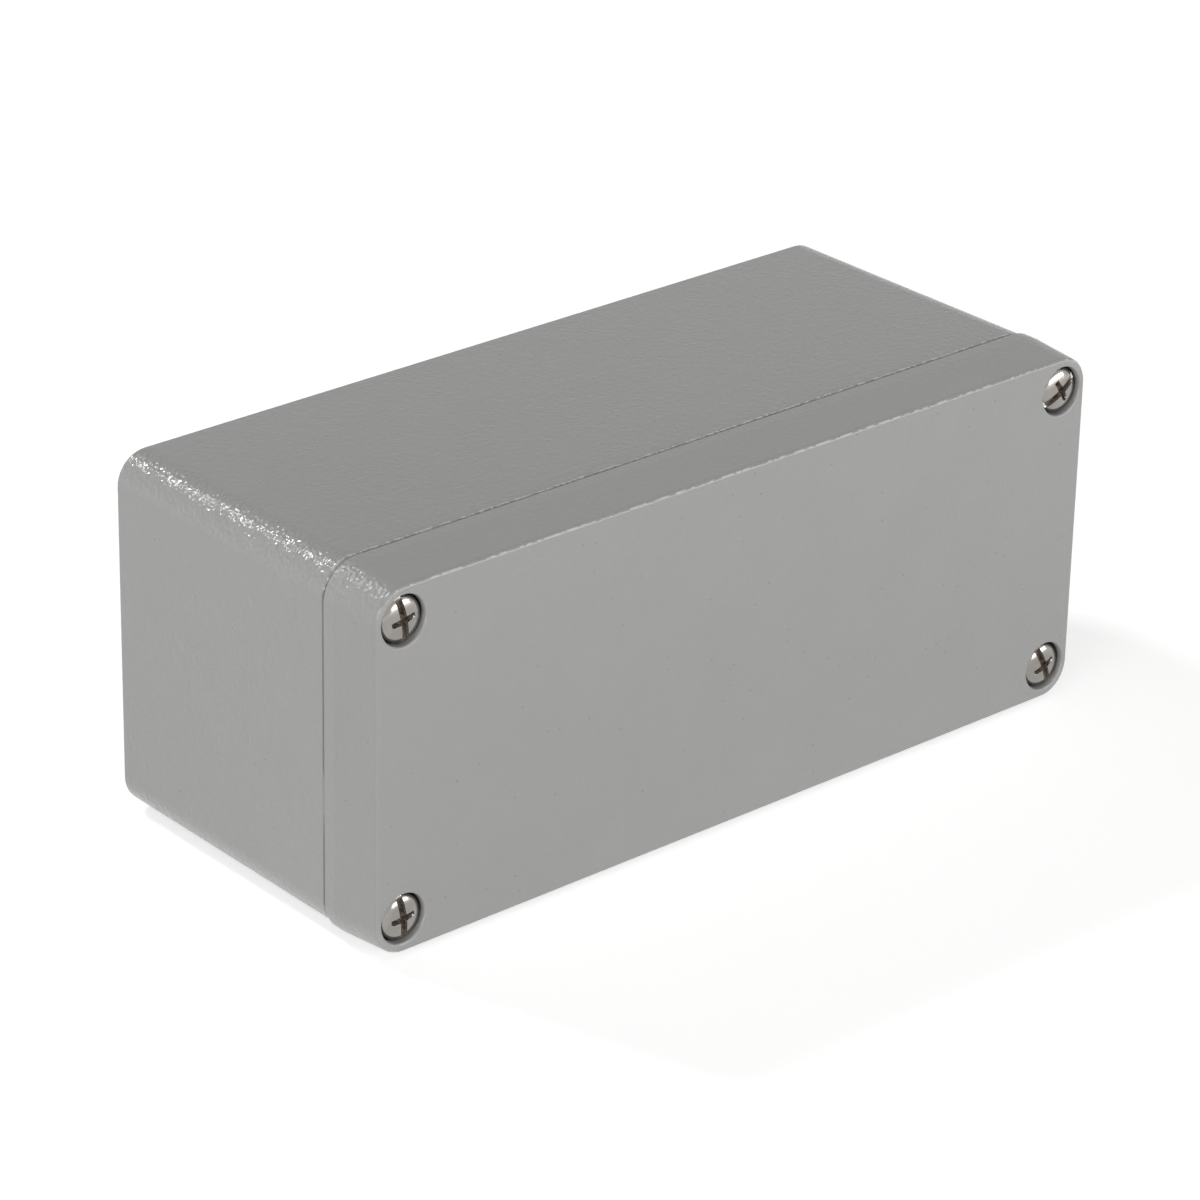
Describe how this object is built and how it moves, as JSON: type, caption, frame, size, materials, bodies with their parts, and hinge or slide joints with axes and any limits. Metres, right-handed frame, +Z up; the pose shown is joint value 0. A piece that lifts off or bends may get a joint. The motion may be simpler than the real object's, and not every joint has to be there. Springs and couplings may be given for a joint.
{
  "type": "junction box",
  "caption": "Rectangular die-cast aluminium junction box with a screw-down lid, gasket, rail-mounted terminals and an earth connection.",
  "frame": {"origin": "centre of the bottom of the box's outline, as it stands on one long narrow side", "axes": "+X along the length, -Y out of the lid, +Z up"},
  "size_m": [0.1808, 0.0782, 0.0759],
  "materials": {
    "coat": "matt grey powder coat, fine orange peel",
    "stainless": "turned stainless steel",
    "zinc": "zinc plated",
    "brass": "nickel-plated brass",
    "gasket": "matt neoprene",
    "ring": "matt rubber",
    "housing": "moulded grey polyamide",
    "earth_housing": "moulded green and yellow polyamide"
  },
  "bodies": {
    "base": {"base": "coat", "terminal_rail": "zinc", "rail_screws": "zinc", "rail_washers": "zinc", "earth_screw": "zinc", "earth_spring_washer": "zinc", "earth_clamp_plate": "brass", "clamp_cages": "brass", "clamp_screws": "zinc", "current_bars": "brass", "end_plate": "housing", "end_bracket_left": "housing", "end_bracket_right": "housing", "earth_terminal": "earth_housing", "terminal_1": "housing", "terminal_2": "housing", "terminal_3": "housing", "terminal_4": "housing", "terminal_5": "housing", "terminal_6": "housing"},
    "lid": {"lid": "coat", "lid_gasket": "gasket"},
    "screw_top_left": {"lid_screw_top_left": "stainless", "screw_ring_top_left": "ring"},
    "screw_top_right": {"lid_screw_top_right": "stainless", "screw_ring_top_right": "ring"},
    "screw_bottom_left": {"lid_screw_bottom_left": "stainless", "screw_ring_bottom_left": "ring"},
    "screw_bottom_right": {"lid_screw_bottom_right": "stainless", "screw_ring_bottom_right": "ring"}
  },
  "joints": [
    {"name": "lid_lift", "type": "slide", "parent": "base", "child": "lid", "axis": [0, -1, 0], "range_m": [0, 0.08]},
    {"name": "unscrew_top_left", "type": "slide", "parent": "lid", "child": "screw_top_left", "axis": [0, -1, 0], "range_m": [0, 0.0075]},
    {"name": "unscrew_top_right", "type": "slide", "parent": "lid", "child": "screw_top_right", "axis": [0, -1, 0], "range_m": [0, 0.0075]},
    {"name": "unscrew_bottom_left", "type": "slide", "parent": "lid", "child": "screw_bottom_left", "axis": [0, -1, 0], "range_m": [0, 0.0075]},
    {"name": "unscrew_bottom_right", "type": "slide", "parent": "lid", "child": "screw_bottom_right", "axis": [0, -1, 0], "range_m": [0, 0.0075]}
  ]
}
